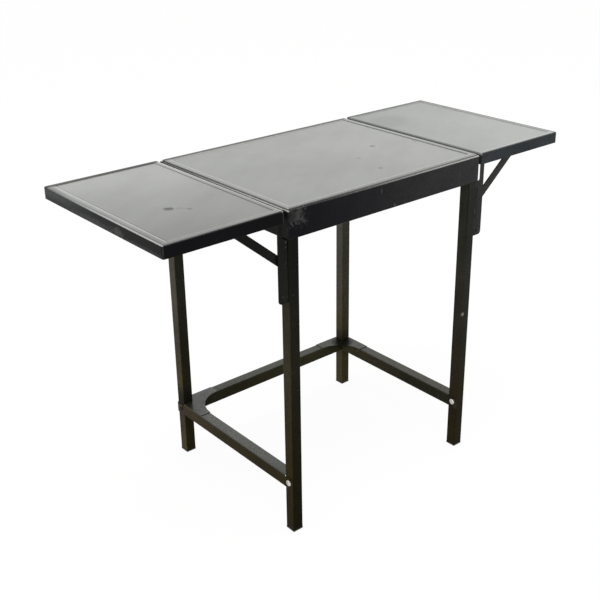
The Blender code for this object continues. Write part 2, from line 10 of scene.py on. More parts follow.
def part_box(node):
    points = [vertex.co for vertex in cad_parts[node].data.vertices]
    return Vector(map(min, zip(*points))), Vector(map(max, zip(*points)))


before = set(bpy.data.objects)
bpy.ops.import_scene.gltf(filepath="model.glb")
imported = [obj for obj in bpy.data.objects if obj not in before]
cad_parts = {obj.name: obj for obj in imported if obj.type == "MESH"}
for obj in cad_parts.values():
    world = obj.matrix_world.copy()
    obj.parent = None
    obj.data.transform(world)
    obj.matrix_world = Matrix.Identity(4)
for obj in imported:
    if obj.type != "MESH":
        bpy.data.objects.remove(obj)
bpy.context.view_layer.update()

# Camera of the photograph in metres and radians, its lens in millimetres, its shift in shares of the picture
CAMERA_PLACE = Vector((-1.25002, -1.44249, 1.24394))
CAMERA_YAW = 0.69264
CAMERA_PITCH = 0.41345
CAMERA_ROLL = -0.01391
CAMERA_LENS = 59.115
CAMERA_SENSOR = 36.0
CAMERA_SHIFT_ALONG = -0.0020
CAMERA_SHIFT_UP = -0.0299

# Studio: softbox above the table, floor, and the white that camera and gloss see in place of the floor
SOFTBOX_PLACE = (-0.4, -0.3, 3.2)
SOFTBOX_TARGET = (0.0, 0.0, 0.5)
SOFTBOX_SIZE = 2.4
SOFTBOX_WATTS = 45.0
FLOOR_RADIUS = 40.0
FLOOR_SIDES = 64
FLOOR_TONE = (0.88, 0.88, 0.87, 1.0)
WHITE = (1.0, 1.0, 1.0, 1.0)
WHITE_LEVEL = 1.03
WHITE_SHARE = 0.90
# Light of the studio walls by the sine of its height: brightest a little above the horizon
WALL_TINT = (0.985, 1.0, 0.970)
WALL_LIGHT = ((0.0, 1.25), (0.20, 1.35), (0.34, 1.65), (0.46, 1.00), (0.56, 0.95), (0.72, 0.45), (1.0, 0.40))

# Colours of the finishes; several of them also serve as painted highlights and painted shade
# Pale grey of dust, and of painted highlights along steps, rims and corners
PALE_DUST_AND_HIGHLIGHT = (0.150, 0.150, 0.142)
# Soft grey of painted highlights along steps and edges, and of painted glints on two small rivet heads
SOFT_HIGHLIGHT_GREY = (0.240, 0.240, 0.232)
# Bright grey of painted highlights along edges and steps, also used for a small light spot on a leg
HIGHLIGHT_GREY = (0.42, 0.42, 0.41)
WORN_PRIMER = (0.060, 0.058, 0.054)
BARE_STEEL = (0.30, 0.29, 0.27)
ZINC = (0.62, 0.60, 0.56)
DULL_ZINC = (0.40, 0.37, 0.31)
DARK_STEEL = (0.10, 0.098, 0.092)
OILY_STEEL = (0.035, 0.032, 0.027)
RUBBER = (0.014, 0.014, 0.013)
FLOOR_DUST = (0.085, 0.080, 0.072)
RUST_BROWN = (0.060, 0.028, 0.016)
# Near black of soot stains, and of painted shade along rims, in corners, under the apron and beside the legs
SOOT_AND_SHADE = (0.006, 0.006, 0.006)
RESIDUE_GREY = (0.060, 0.060, 0.058)
SCUFF_GREY = (0.085, 0.085, 0.082)

# Refraction of the dull paint, of the duller leg paint, and of the polish on upper faces
PAINT_IOR = 1.14
LEG_IOR = 1.08
POLISH_IOR = 2.0

# Old paint: how its gloss spreads, how scratches show and roughen it, how bare spots look, and its fine skin
GLOSS_SPREAD = 0.03
SCRATCH_SHOW = 0.55
SCRATCH_ROUGH = 0.12
BARE_ROUGH = 0.15
BARE_METAL = 0.8
SKIN_STRENGTH = 0.10
SKIN_DEPTH = 0.0002

# Reach of the wear from an edge: on sheet steel, on small fittings and on the feet
SHEET_EDGE = 0.0009
FITTING_EDGE = 0.0004
FOOT_EDGE = 0.0008

# Places between which the painted reflection and shade in the paint change along the table, across it and
# towards the floor
ALONG_RANGE = (-0.35, 0.45)
ACROSS_RANGE = (-0.10, 0.26)
DOWN_RANGE = (0.50, 0.06)
# Heights between which floor dust sets in on a foot
DUST_RANGE = (0.0022, 0.0002)
# Parts of a face's normal between which it comes to look left, or up
LEFT_FACING = (-0.4, -0.9)
UP_FACING = (0.40, 0.85)

# Paint of a part with painted reflection and shade: its colour on faces at the table's left and right end,
# and on faces that look left, near and far
Paint = namedtuple("Paint", "left right near far")
# Polish of upper faces: at the table's middle, and its change per metre along and across the table
Polish = namedtuple("Polish", "level along across")
# Soft mark: its colour covers the paint by strength, roughens it by dull and takes the shine off by cover
Mark = namedtuple("Mark", "centre size colour strength turn ragged dull cover square ends")

# Share of a mark's size past which it is cut off; far out, so that a mark fades by itself
OPEN_ENDS = (10.0, 10.0, 10.0)
# Depth of marks on a panel, on faces that look to the front, and on the left leaf's end
PANEL_DEPTH = 0.02
FRONT_DEPTH = 0.01
END_DEPTH = 0.004
# Lines on the paint: their reach along and across the table, depth and raggedness
LINE_ALONG = 0.9
LINE_ACROSS = 0.6
LINE_DEPTH = 0.0035
LINE_RAGGED = 0.3
# Distance of a panel's pressed step from its edge
STEP_INSET = 0.0124


def add_node(tree, kind, inputs=None, **settings):
    """Place a node, set its own settings, and fill or link its input sockets."""
    made = tree.nodes.new(kind)
    for name, value in settings.items():
        setattr(made, name, value)
    for socket, value in (inputs or {}).items():
        if isinstance(value, bpy.types.NodeSocket):
            tree.links.new(value, made.inputs[socket])
        else:
            made.inputs[socket].default_value = value
    return made


def math_node(tree, operation, first, second=0.0, clamp=False):
    """Result of a sum, product or other operation on two values."""
    made = add_node(tree, "ShaderNodeMath", {0: first, 1: second}, operation=operation, use_clamp=clamp)
    return made.outputs[0]


def ramp(tree, value, low, high, to_low=0.0, to_high=1.0):
    """Smoothly map a value from one range to another."""
    inputs = {0: value, 1: low, 2: high, 3: to_low, 4: to_high}
    return add_node(tree, "ShaderNodeMapRange", inputs, interpolation_type="SMOOTHSTEP").outputs[0]


def opaque(colour):
    """Colour for a socket: a link as it is, or red, green and blue with full cover."""
    if isinstance(colour, bpy.types.NodeSocket):
        return colour
    return (*colour, 1.0)


def mix_colour(tree, factor, first, second, blend="MIX"):
    """Mix of two colours, which are sockets or red, green and blue."""
    inputs = {0: factor, 6: opaque(first), 7: opaque(second)}
    return add_node(tree, "ShaderNodeMix", inputs, data_type="RGBA", blend_type=blend).outputs[2]


def axes_of(tree, vector):
    """Outputs X, Y and Z of a vector."""
    return add_node(tree, "ShaderNodeSeparateXYZ", {0: vector}).outputs


def vector_math(tree, operation, *vectors):
    """Outputs of a length, product or other operation on vectors."""
    return add_node(tree, "ShaderNodeVectorMath", dict(enumerate(vectors)), operation=operation).outputs


def largest_axis(tree, vector):
    """Largest of a vector's three parts."""
    axes = axes_of(tree, vector)
    return math_node(tree, "MAXIMUM", axes["X"], math_node(tree, "MAXIMUM", axes["Y"], axes["Z"]))


def noise(tree, place, scale, detail=3.0, rough=0.55, stretch=(1.0, 1.0, 1.0), shift=0.0, turn=0.0):
    """Noise value on a place, turned about the upright and stretched along its axes."""
    turned = add_node(tree, "ShaderNodeMapping", {0: place, 2: (0.0, 0.0, turn)}).outputs[0]
    offset = (shift, shift * 1.7, shift * 2.3)
    moved = add_node(tree, "ShaderNodeMapping", {0: turned, 1: offset, 3: stretch}).outputs[0]
    inputs = {"Vector": moved, "Scale": scale, "Detail": detail, "Roughness": rough}
    return add_node(tree, "ShaderNodeTexNoise", inputs).outputs["Fac"]


def hairlines(tree, place, scale, stretch, low, high, shift=0.0):
    """Mask of fine lines: noise that is drawn out along one axis."""
    drawn_out = noise(tree, place, scale, detail=2.0, rough=0.5, stretch=stretch, shift=shift)
    return ramp(tree, drawn_out, low, high)


def new_group(name, inputs, outputs):
    """Start a shader node group with named sockets and return its tree, its inputs and its output node."""
    tree = bpy.data.node_groups.new(name, "ShaderNodeTree")
    for label, kind, value in inputs:
        socket = tree.interface.new_socket(label, in_out="INPUT", socket_type=kind)
        socket.default_value = value
    for label, kind in outputs:
        tree.interface.new_socket(label, in_out="OUTPUT", socket_type=kind)
    start = tree.nodes.new("NodeGroupInput")
    end = tree.nodes.new("NodeGroupOutput")
    return tree, start.outputs, end.inputs


def use_group(tree, group, inputs):
    """Outputs of a node group that is placed in a material."""
    return add_node(tree, "ShaderNodeGroup", inputs, node_tree=group).outputs


def make_edge_wear():
    """Mask of rubbed edges: strong on the edge itself, broken up along it."""
    tree, given, result = new_group(
        "edge_wear",
        (("Place", "NodeSocketVector", (0, 0, 0)), ("Radius", "NodeSocketFloat", 0.001),
         ("Amount", "NodeSocketFloat", 0.5)),
        (("Mask", "NodeSocketFloat"), ("Soft Normal", "NodeSocketVector")))
    place = given["Place"]
    soft = add_node(tree, "ShaderNodeBevel", {0: given["Radius"]}, samples=6).outputs[0]
    flat = add_node(tree, "ShaderNodeNewGeometry").outputs["True Normal"]
    bend = vector_math(tree, "DOT_PRODUCT", soft, flat)["Value"]
    edge = ramp(tree, math_node(tree, "SUBTRACT", 1.0, bend), 0.03, 0.22)
    patches = ramp(tree, noise(tree, place, scale=28.0, detail=5.0, rough=0.65), 0.46, 0.62)
    grain = ramp(tree, noise(tree, place, scale=420.0, detail=2.0), 0.38, 0.60)
    broken = math_node(tree, "MULTIPLY", patches, grain)
    worn = math_node(tree, "MULTIPLY", edge, broken)
    tree.links.new(math_node(tree, "MULTIPLY", worn, given["Amount"], clamp=True), result["Mask"])
    tree.links.new(soft, result["Soft Normal"])
    return tree


def make_paint_ageing():
    """Old paint: cloudy dulling, fine scratches, small chips, mottled tone and a faint skin texture."""
    tree, given, result = new_group(
        "paint_ageing",
        (("Place", "NodeSocketVector", (0, 0, 0)), ("Chips", "NodeSocketFloat", 0.5),
         ("Scratches", "NodeSocketFloat", 0.5)),
        (("Clouds", "NodeSocketFloat"), ("Scratches", "NodeSocketFloat"), ("Chips", "NodeSocketFloat"),
         ("Mottle", "NodeSocketColor"), ("Sheen", "NodeSocketFloat"), ("Speckle", "NodeSocketFloat"),
         ("Skin", "NodeSocketFloat")))
    place = given["Place"]
    clouds = noise(tree, place, scale=7.0, detail=5.0, rough=0.60)
    lengthwise = hairlines(tree, place, 60.0, (0.12, 2.4, 2.4), 0.665, 0.735)
    crosswise = hairlines(tree, place, 55.0, (2.2, 0.10, 2.2), 0.675, 0.745, shift=4.0)
    upright = hairlines(tree, place, 50.0, (2.6, 2.6, 0.10), 0.675, 0.745, shift=9.0)
    lines = math_node(tree, "MAXIMUM", math_node(tree, "MAXIMUM", lengthwise, crosswise), upright)
    here = ramp(tree, noise(tree, place, scale=9.0, detail=2.0, rough=0.5, shift=2.0), 0.45, 0.65)
    scratches = math_node(tree, "MULTIPLY", math_node(tree, "MULTIPLY", lines, here), given["Scratches"])
    flecks = ramp(tree, noise(tree, place, scale=240.0, detail=3.0, rough=0.6, shift=6.0), 0.715, 0.755)
    chips = math_node(tree, "MULTIPLY", flecks, given["Chips"])
    fine = noise(tree, place, scale=330.0, detail=4.0, rough=0.7, shift=1.0)
    grain = ramp(tree, fine, 0.30, 0.72, 0.70, 1.32)
    mottle = math_node(tree, "MULTIPLY", grain, ramp(tree, clouds, 0.30, 0.72, 0.80, 1.25))
    wiped = noise(
        tree, place, scale=26.0, detail=3.0, rough=0.6, stretch=(0.16, 1.0, 1.0), shift=3.0, turn=-0.62)
    streaks = ramp(tree, wiped, 0.30, 0.70, 0.975, 1.025)
    sheen = math_node(tree, "MULTIPLY", streaks, ramp(tree, clouds, 0.30, 0.75, 1.03, 0.94))
    speckle = ramp(tree, noise(tree, place, scale=380.0, detail=3.0, rough=0.7, shift=8.0), 0.32, 0.68)
    skin = noise(tree, place, scale=900.0, detail=2.0, rough=0.5)
    for name, value in (
            ("Clouds", clouds), ("Scratches", scratches), ("Chips", chips), ("Mottle", mottle),
            ("Sheen", sheen), ("Speckle", speckle), ("Skin", skin)):
        tree.links.new(value, result[name])
    return tree


def make_soft_mark():
    """Mask of one soft mark: an oval or a box about a centre, with a ragged border."""
    tree, given, result = new_group(
        "soft_mark",
        (("Place", "NodeSocketVector", (0, 0, 0)), ("Centre", "NodeSocketVector", (0, 0, 0)),
         ("Turn", "NodeSocketVector", (0, 0, 0)), ("Size", "NodeSocketVector", (0.01, 0.01, 0.01)),
         ("Ragged", "NodeSocketFloat", 0.6), ("Square", "NodeSocketFloat", 0.0),
         ("Ends", "NodeSocketVector", OPEN_ENDS)),
        (("Mask", "NodeSocketFloat"),))
    frame_of_mark = {0: given["Place"], 1: given["Centre"], 2: given["Turn"], 3: given["Size"]}
    about = add_node(tree, "ShaderNodeMapping", frame_of_mark, vector_type="TEXTURE").outputs[0]
    oval = vector_math(tree, "LENGTH", about)["Value"]
    sides = vector_math(tree, "ABSOLUTE", about)[0]
    box = largest_axis(tree, sides)
    reach = add_node(tree, "ShaderNodeMix", {0: given["Square"], 2: oval, 3: box}).outputs[0]
    rough = math_node(tree, "SUBTRACT", noise(tree, given["Place"], scale=260.0, detail=4.0, rough=0.65), 0.5)
    ragged = math_node(tree, "ADD", reach, math_node(tree, "MULTIPLY", rough, given["Ragged"]))
    past = vector_math(tree, "DIVIDE", sides, given["Ends"])[0]
    inside = ramp(tree, largest_axis(tree, past), 1.01, 0.99)
    mask = math_node(tree, "MULTIPLY", ramp(tree, ragged, 1.0, 0.35), inside)
    tree.links.new(mask, result["Mask"])
    return tree


EDGE_WEAR = make_edge_wear()
PAINT_AGEING = make_paint_ageing()
SOFT_MARK = make_soft_mark()


def start_material(name, slot_colour):
    """Material with a Principled shader, and the object coordinates that its patterns read."""
    material = bpy.data.materials.new(name)
    material.use_nodes = True
    material.diffuse_color = opaque(slot_colour)
    tree = material.node_tree
    shader = tree.nodes["Principled BSDF"]
    place = add_node(tree, "ShaderNodeTexCoord").outputs["Object"]
    return material, tree, shader, place


def paint_colour(tree, place, normal, paint, low):
    """Paint with painted reflection and shade: lighter or darker from left to right and on the faces that
    look left, with a painted warm reflection of the floor low down.
    """
    at = axes_of(tree, place)
    facing = axes_of(tree, normal)
    front = mix_colour(tree, ramp(tree, at["X"], *ALONG_RANGE), paint.left, paint.right)
    side = mix_colour(tree, ramp(tree, at["Y"], *ACROSS_RANGE), paint.near, paint.far)
    tone = mix_colour(tree, ramp(tree, facing["X"], *LEFT_FACING), front, side)
    if not low:
        return tone
    # Painted warm reflection of the floor: a brown tint that grows towards the floor
    floor_reflection = mix_colour(tree, 1.0, tone, low, "MULTIPLY")
    return mix_colour(tree, ramp(tree, at["Z"], *DOWN_RANGE), tone, floor_reflection)


def polish_weight(tree, place, normal, polish):
    """Share of polish: only on faces that look up, and changing slowly over the table."""
    at = axes_of(tree, place)
    upward = ramp(tree, axes_of(tree, normal)["Z"], *UP_FACING)
    along = math_node(tree, "MULTIPLY", at["X"], polish.along)
    across = math_node(tree, "MULTIPLY", at["Y"], polish.across)
    level = math_node(tree, "ADD", math_node(tree, "ADD", along, across), polish.level, clamp=True)
    return math_node(tree, "MULTIPLY", upward, level)


def painted_steel(name, paint, gloss, polish, wear=0.5, chips=0.4, scratches=0.4, marks=(), low=None,
                  ior=PAINT_IOR, speckle=0.0):
    """Old stove paint on sheet steel, polished on top, with painted reflection and shade in its colour and
    its own marks, many of them painted highlights and shade.
    """
    material, tree, shader, place = start_material(name, paint.left)
    normal = add_node(tree, "ShaderNodeTexCoord").outputs["Normal"]
    edges = use_group(tree, EDGE_WEAR, {"Place": place, "Radius": SHEET_EDGE, "Amount": wear})
    ageing = use_group(tree, PAINT_AGEING, {"Place": place, "Chips": chips, "Scratches": scratches})
    colour = paint_colour(tree, place, normal, paint, low)
    colour = mix_colour(tree, 1.0, colour, ageing["Mottle"], "MULTIPLY")
    scratched = math_node(tree, "MULTIPLY", ageing["Scratches"], SCRATCH_SHOW)
    colour = mix_colour(tree, scratched, colour, WORN_PRIMER)
    rough = ramp(tree, ageing["Clouds"], 0.30, 0.72, gloss - GLOSS_SPREAD, gloss + GLOSS_SPREAD)
    rough = math_node(tree, "ADD", rough, math_node(tree, "MULTIPLY", ageing["Scratches"], SCRATCH_ROUGH))
    shine = polish_weight(tree, place, normal, polish)
    shine = math_node(tree, "MULTIPLY", shine, ageing["Sheen"])
    spots = ramp(tree, ageing["Speckle"], 0.0, 1.0, 1.0 - speckle, 1.0 + speckle)
    shine = math_node(tree, "MULTIPLY", shine, spots)
    for spot in marks:
        form = {
            "Place": place, "Centre": spot.centre, "Turn": spot.turn, "Size": spot.size,
            "Ragged": spot.ragged, "Square": spot.square, "Ends": spot.ends}
        mask = use_group(tree, SOFT_MARK, form)["Mask"]
        colour = mix_colour(tree, math_node(tree, "MULTIPLY", mask, spot.strength), colour, spot.colour)
        rough = math_node(tree, "ADD", rough, math_node(tree, "MULTIPLY", mask, spot.dull))
        uncovered = ramp(tree, mask, 0.0, 1.0, 1.0, 1.0 - spot.cover)
        shine = math_node(tree, "MULTIPLY", shine, uncovered)
    bare = math_node(tree, "MAXIMUM", edges["Mask"], ageing["Chips"])
    colour = mix_colour(tree, bare, colour, BARE_STEEL)
    rough = math_node(tree, "ADD", rough, math_node(tree, "MULTIPLY", bare, BARE_ROUGH))
    metal = math_node(tree, "MULTIPLY", bare, BARE_METAL)
    texture = {
        "Strength": SKIN_STRENGTH, "Distance": SKIN_DEPTH, "Height": ageing["Skin"],
        "Normal": edges["Soft Normal"]}
    skin = add_node(tree, "ShaderNodeBump", texture).outputs[0]
    for socket, value in (
            ("Base Color", colour), ("Roughness", rough), ("Metallic", metal), ("Coat Weight", shine),
            ("Normal", skin)):
        tree.links.new(value, shader.inputs[socket])
    shader.inputs["IOR"].default_value = ior
    shader.inputs["Coat IOR"].default_value = POLISH_IOR
    shader.inputs["Coat Roughness"].default_value = gloss
    return material


def bright_zinc(name):
    """Zinc plating with a faint spangle and dull patches."""
    material, tree, shader, place = start_material(name, ZINC)
    edges = use_group(tree, EDGE_WEAR, {"Place": place, "Radius": FITTING_EDGE, "Amount": 0.3})
    dull = ramp(tree, noise(tree, place, scale=320.0, detail=3.0), 0.40, 0.70)
    tree.links.new(mix_colour(tree, dull, ZINC, DULL_ZINC), shader.inputs["Base Color"])
    tree.links.new(ramp(tree, dull, 0.0, 1.0, 0.26, 0.46), shader.inputs["Roughness"])
    tree.links.new(edges["Soft Normal"], shader.inputs["Normal"])
    shader.inputs["Metallic"].default_value = 1.0
    return material


def dark_steel(name):
    """Oil-darkened steel of the hinge and stay parts."""
    material, tree, shader, place = start_material(name, DARK_STEEL)
    edges = use_group(tree, EDGE_WEAR, {"Place": place, "Radius": FITTING_EDGE, "Amount": 0.8})
    grime = ramp(tree, noise(tree, place, scale=120.0, detail=4.0, rough=0.6), 0.35, 0.65)
    tone = mix_colour(tree, grime, DARK_STEEL, OILY_STEEL)
    tree.links.new(mix_colour(tree, edges["Mask"], tone, BARE_STEEL), shader.inputs["Base Color"])
    tree.links.new(ramp(tree, grime, 0.0, 1.0, 0.34, 0.58), shader.inputs["Roughness"])
    tree.links.new(edges["Soft Normal"], shader.inputs["Normal"])
    shader.inputs["Metallic"].default_value = 0.9
    return material


def foot_rubber(name):
    """Hard rubber, scuffed grey where it meets the floor."""
    material, tree, shader, place = start_material(name, RUBBER)
    edges = use_group(tree, EDGE_WEAR, {"Place": place, "Radius": FOOT_EDGE, "Amount": 0.7})
    low = ramp(tree, axes_of(tree, place)["Z"], *DUST_RANGE)
    patches = ramp(tree, noise(tree, place, scale=180.0, detail=4.0), 0.35, 0.65)
    dusty = math_node(tree, "MULTIPLY", low, patches)
    scuffed = math_node(tree, "MAXIMUM", dusty, edges["Mask"])
    tree.links.new(mix_colour(tree, scuffed, RUBBER, FLOOR_DUST), shader.inputs["Base Color"])
    tree.links.new(ramp(tree, scuffed, 0.0, 1.0, 0.62, 0.90), shader.inputs["Roughness"])
    tree.links.new(edges["Soft Normal"], shader.inputs["Normal"])
    return material


# Places that the marks are measured from
LEFT_LOW, LEFT_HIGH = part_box("left_leaf")
RIGHT_LOW, RIGHT_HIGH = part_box("right_leaf")
TOP_LOW, TOP_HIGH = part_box("centre_top")
APRON_LOW, APRON_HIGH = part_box("front_apron")
PANEL_Z = TOP_HIGH.z
LEG_FRONT = LEFT_LOW.y + 0.0013
CONSOLE_FRONT = LEFT_LOW.y + 0.003


def mark(centre, size, colour, strength=0.9, turn=0.0, ragged=0.6, dull=0.1, cover=0.0, square=0.0,
         ends=OPEN_ENDS):
    """Mark on the paint; it turns about the upright."""
    return Mark(centre, size, colour, strength, (0.0, 0.0, turn), ragged, dull, cover, square, ends)


def panel_mark(x, y, along, across, colour, strength, **look):
    """Mark on top of a panel."""
    return mark((x, y, PANEL_Z), (along, across, PANEL_DEPTH), colour, strength, **look)


def front_mark(x, y, z, wide, high, colour, strength=0.9, **look):
    """Mark on a face that looks to the front."""
    return mark((x, y, z), (wide, FRONT_DEPTH, high), colour, strength, **look)


def end_scuff(y, z, across, high, strength, ragged):
    """Grey scuff on the end of the left leaf."""
    return mark((LEFT_LOW.x, y, z), (END_DEPTH, across, high), SCUFF_GREY, strength, ragged=ragged)


def line_along(y, z, half, colour, strength, cover=0.0, x=0.0, length=LINE_ALONG, depth=LINE_DEPTH,
               ends=OPEN_ENDS):
    """Thin line on the paint that runs along the table."""
    size = (length, half, depth)
    return mark((x, y, z), size, colour, strength, ragged=LINE_RAGGED, cover=cover, square=1.0, ends=ends)


def line_across(x, z, half, colour, strength, cover=0.0, y=0.0, length=LINE_ACROSS, depth=LINE_DEPTH,
                ends=OPEN_ENDS):
    """Thin line on the paint that runs across the table."""
    size = (half, length, depth)
    return mark((x, y, z), size, colour, strength, ragged=LINE_RAGGED, cover=cover, square=1.0, ends=ends)


def step_along(low, high, y, half, colour, strength, cover=0.0):
    """Line along a panel's pressed step that runs along the table and stops at the panel's corners."""
    reach = (high.x - low.x) / 2 - STEP_INSET
    ends = (reach / LINE_ALONG, *OPEN_ENDS[1:])
    return line_along(y, high.z, half, colour, strength, cover, x=(low.x + high.x) / 2, ends=ends)


def step_across(low, high, x, half, colour, strength, cover=0.0):
    """Line along a panel's pressed step that runs across the table and stops at the panel's corners."""
    reach = (high.y - low.y) / 2 - STEP_INSET
    ends = (OPEN_ENDS[0], reach / LINE_ACROSS, OPEN_ENDS[2])
    return line_across(x, high.z, half, colour, strength, cover, y=(low.y + high.y) / 2, ends=ends)


LEFT_LEAF_MARKS = (
    panel_mark(-0.3965, -0.0573, 0.0128, 0.0105, SOOT_AND_SHADE, 0.7, turn=-0.74, ragged=0.7, dull=0.2, cover=0.55),
    panel_mark(-0.4005, -0.0640, 0.014, 0.0090, RUST_BROWN, 0.4, turn=-0.74, ragged=0.9, cover=0.1),
    panel_mark(-0.3780, -0.0715, 0.024, 0.0085, SOOT_AND_SHADE, 0.15, turn=-0.80, ragged=1.1, cover=0.05),
    panel_mark(-0.3688, -0.0822, 0.0070, 0.0075, SOOT_AND_SHADE, 0.4, turn=-0.60, ragged=0.9, cover=0.2),
    # Painted highlight on the left step, painted shade just inside it, a painted highlight on the outer edge
    # and painted shade on the rim
    step_across(LEFT_LOW, LEFT_HIGH, LEFT_LOW.x + 0.0158, 0.0020, SOFT_HIGHLIGHT_GREY, 0.9),
    step_across(LEFT_LOW, LEFT_HIGH, LEFT_LOW.x + 0.0190, 0.0020, SOOT_AND_SHADE, 0.2, cover=0.18),
    line_across(LEFT_LOW.x + 0.0008, PANEL_Z, 0.0019, HIGHLIGHT_GREY, 0.9, y=-0.20, length=0.38, depth=0.0023),
    line_across(LEFT_LOW.x + 0.0050, PANEL_Z, 0.0020, SOOT_AND_SHADE, 0.2, cover=0.35),
    # Painted highlights on the near and far steps, and painted shade on the far rim
    step_along(LEFT_LOW, LEFT_HIGH, LEFT_LOW.y + 0.0150, 0.0020, PALE_DUST_AND_HIGHLIGHT, 0.6),
    step_along(LEFT_LOW, LEFT_HIGH, LEFT_HIGH.y - 0.0135, 0.0024, HIGHLIGHT_GREY, 0.52),
    line_along(LEFT_HIGH.y - 0.0060, PANEL_Z, 0.0100, SOOT_AND_SHADE, 0.5, cover=0.95),
    # Painted highlights on the leaf's two front corners
    mark((LEFT_LOW.x + 0.0012, LEFT_LOW.y, 0.6690), (0.0016, 0.0040, 0.0160), PALE_DUST_AND_HIGHLIGHT, 0.2),
    mark((LEFT_HIGH.x - 0.0012, LEFT_LOW.y, 0.6690), (0.0016, 0.0060, 0.0200), PALE_DUST_AND_HIGHLIGHT, 0.4),
    end_scuff(-0.0630, 0.6630, 0.0220, 0.0110, 0.45, ragged=2.8),
    end_scuff(0.0200, 0.6600, 0.1000, 0.0090, 0.35, ragged=3.0),
    end_scuff(-0.1500, 0.6580, 0.0900, 0.0060, 0.25, ragged=2.8),
    end_scuff(0.1500, 0.6700, 0.0700, 0.0090, 0.15, ragged=3.0),
    # Painted highlights on the hinge-side edge and step
    line_across(LEFT_HIGH.x - 0.0030, PANEL_Z, 0.0024, SOFT_HIGHLIGHT_GREY, 0.8),
    step_across(LEFT_LOW, LEFT_HIGH, LEFT_HIGH.x - STEP_INSET, 0.0022, SOFT_HIGHLIGHT_GREY, 0.40),
    # Left rim darker and duller towards the back, and the far half of the panel a little paler
    mark((LEFT_LOW.x + 0.0060, 0.205, PANEL_Z), (0.0120, 0.110, 0.0060), SOOT_AND_SHADE, 0.1, ragged=0.3, cover=0.22),
    panel_mark(-0.380, 0.210, 0.450, 0.220, PALE_DUST_AND_HIGHLIGHT, 0.15, ragged=0.2, dull=0.0),
)
CENTRE_MARKS = (
    panel_mark(0.1345, -0.0113, 0.0085, 0.0060, RUST_BROWN, 1.0, turn=-0.75, ragged=0.7, dull=0.2, cover=0.6),
    panel_mark(0.0534, -0.0559, 0.0075, 0.0070, RUST_BROWN, 0.8, turn=-0.60, ragged=1.1, cover=0.3),
    panel_mark(0.0406, -0.1324, 0.0070, 0.0070, SOOT_AND_SHADE, 0.6, turn=-0.70, ragged=0.9, cover=0.3),
    panel_mark(0.2245, -0.0447, 0.016, 0.0022, RUST_BROWN, 0.9, turn=1.21, ragged=0.7, cover=0.5),
    # Painted highlights on the left and near steps, painted shade on the near rim, and a painted highlight on
    # the lower left edge
    step_across(TOP_LOW, TOP_HIGH, TOP_LOW.x + 0.0112, 0.0026, SOFT_HIGHLIGHT_GREY, 0.8),
    step_along(TOP_LOW, TOP_HIGH, TOP_LOW.y + 0.0110, 0.0030, PALE_DUST_AND_HIGHLIGHT, 0.9),
    line_along(TOP_LOW.y + 0.0040, PANEL_Z, 0.0014, SOOT_AND_SHADE, 0.3, cover=0.5),
    line_across(TOP_LOW.x, TOP_LOW.z, 0.0030, SOFT_HIGHLIGHT_GREY, 0.6, depth=0.0045),
    # Painted highlights on the far and right steps, painted shade on the far rim, and a painted highlight
    # along the lower near edge
    step_along(TOP_LOW, TOP_HIGH, TOP_HIGH.y - STEP_INSET, 0.0022, HIGHLIGHT_GREY, 0.8),
    step_across(TOP_LOW, TOP_HIGH, TOP_HIGH.x - STEP_INSET, 0.0022, SOFT_HIGHLIGHT_GREY, 0.45),
    line_along(TOP_HIGH.y - 0.0050, PANEL_Z, 0.0090, SOOT_AND_SHADE, 0.3, cover=0.75),
    line_along(TOP_LOW.y, TOP_LOW.z, 0.0030, SOFT_HIGHLIGHT_GREY, 0.8, x=0.5, length=1.0, depth=0.0045),
)
RIGHT_LEAF_MARKS = (
    panel_mark(0.305, 0.110, 0.075, 0.060, SOOT_AND_SHADE, 0.1, turn=0.3, ragged=0.4, dull=0.0, cover=0.12),
    # Painted highlights on the near rim, the left edge and the far step, and painted shade on the far rim
    line_along(RIGHT_LOW.y + 0.0065, PANEL_Z, 0.0040, PALE_DUST_AND_HIGHLIGHT, 0.7),
    line_across(RIGHT_LOW.x, PANEL_Z, 0.0030, HIGHLIGHT_GREY, 0.4, depth=0.006),
    step_along(RIGHT_LOW, RIGHT_HIGH, RIGHT_HIGH.y - STEP_INSET, 0.0022, HIGHLIGHT_GREY, 0.7),
    line_along(RIGHT_HIGH.y - 0.0050, PANEL_Z, 0.0090, SOOT_AND_SHADE, 0.3, cover=0.70),
    # Painted highlight on the right step and painted shade along the right edge
    step_across(RIGHT_LOW, RIGHT_HIGH, RIGHT_HIGH.x - STEP_INSET, 0.0024, HIGHLIGHT_GREY, 0.55),
    line_across(RIGHT_HIGH.x - 0.0030, PANEL_Z, 0.0060, SOOT_AND_SHADE, 0.2, cover=0.62),
)
